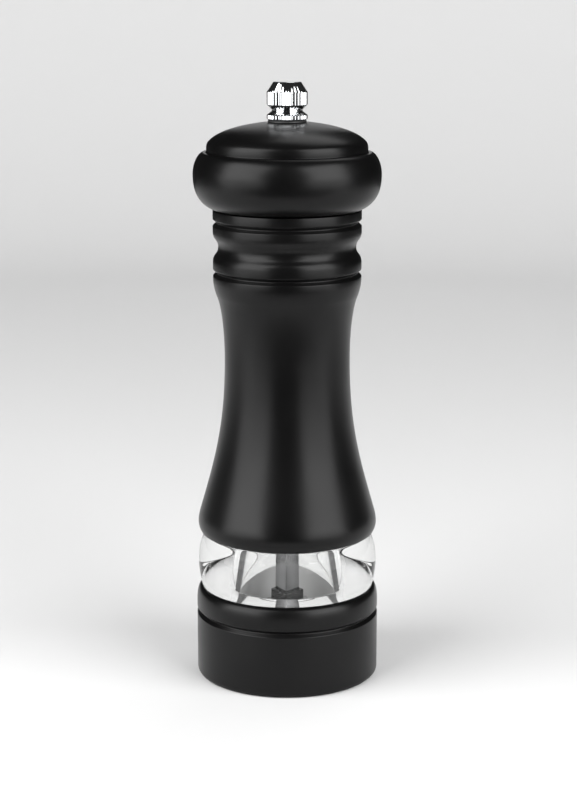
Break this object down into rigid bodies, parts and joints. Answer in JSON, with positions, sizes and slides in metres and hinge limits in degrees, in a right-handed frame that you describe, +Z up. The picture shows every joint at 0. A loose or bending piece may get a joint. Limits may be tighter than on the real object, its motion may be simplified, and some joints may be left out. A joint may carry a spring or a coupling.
{
  "type": "pepper mill",
  "caption": "Turned black lacquered pepper mill with a domed turning head, a chrome fluted knob, a waisted body and a clear band above its base.",
  "frame": {"origin": "centre of the underside of the base, on the table", "axes": "+Z up along the mill and every joint axis; the mill is turned, so +X and +Y are free"},
  "size_m": [0.0526, 0.0526, 0.17],
  "materials": {
    "black_lacquer": "satin black lacquer on turned wood",
    "clear_acrylic": "clear polished acrylic",
    "chrome": "polished chrome plate",
    "brushed_steel": "drawn and brushed stainless steel",
    "dark_steel": "dark burnished steel",
    "ceramic": "off-white sintered ceramic",
    "black_nylon": "black moulded nylon",
    "grey_nylon": "grey moulded nylon"
  },
  "bodies": {
    "mill_body": {"base": "black_lacquer", "window": "clear_acrylic", "body": "black_lacquer", "mouth_bush": "black_nylon", "mechanism_housing": "grey_nylon", "stator": "ceramic", "bridge": "grey_nylon", "housing_screw_1": "brushed_steel", "housing_screw_2": "brushed_steel", "housing_screw_3": "brushed_steel"},
    "spindle": {"spring_seat": "grey_nylon", "spring": "brushed_steel"},
    "drive_shaft": {"shaft": "brushed_steel", "shaft_collar": "dark_steel", "rotor": "ceramic", "spring_washer": "brushed_steel", "rotor_washer": "brushed_steel", "rotor_screw": "brushed_steel"},
    "turning_head": {"head": "black_lacquer", "drive_plate": "brushed_steel", "plate_screw_1": "brushed_steel", "plate_screw_2": "brushed_steel"},
    "knob_seat": {"knob_washer": "black_nylon"},
    "adjusting_knob": {"knob": "chrome"}
  },
  "joints": [
    {"name": "head_turn", "type": "hinge", "parent": "mill_body", "child": "spindle", "pos_m": [0, 0, 0.018], "axis": [0, 0, 1], "continuous": true},
    {"name": "burr_lift", "type": "slide", "parent": "spindle", "child": "drive_shaft", "axis": [0, 0, 1], "range_m": [0, 0.0016], "deforming": ["spring"]},
    {"name": "head_lift", "type": "slide", "parent": "spindle", "child": "turning_head", "axis": [0, 0, 1], "range_m": [0, 0.06]},
    {"name": "knob_lift", "type": "slide", "parent": "turning_head", "child": "knob_seat", "axis": [0, 0, 1], "range_m": [0, 0.02]},
    {"name": "knob_turn", "type": "hinge", "parent": "knob_seat", "child": "adjusting_knob", "pos_m": [0, 0, 0.1595], "axis": [0, 0, -1], "range_deg": [0, 720]}
  ],
  "couplings": [
    {"joint": "knob_turn", "follows": "burr_lift", "rad_per_m": 7854}
  ]
}
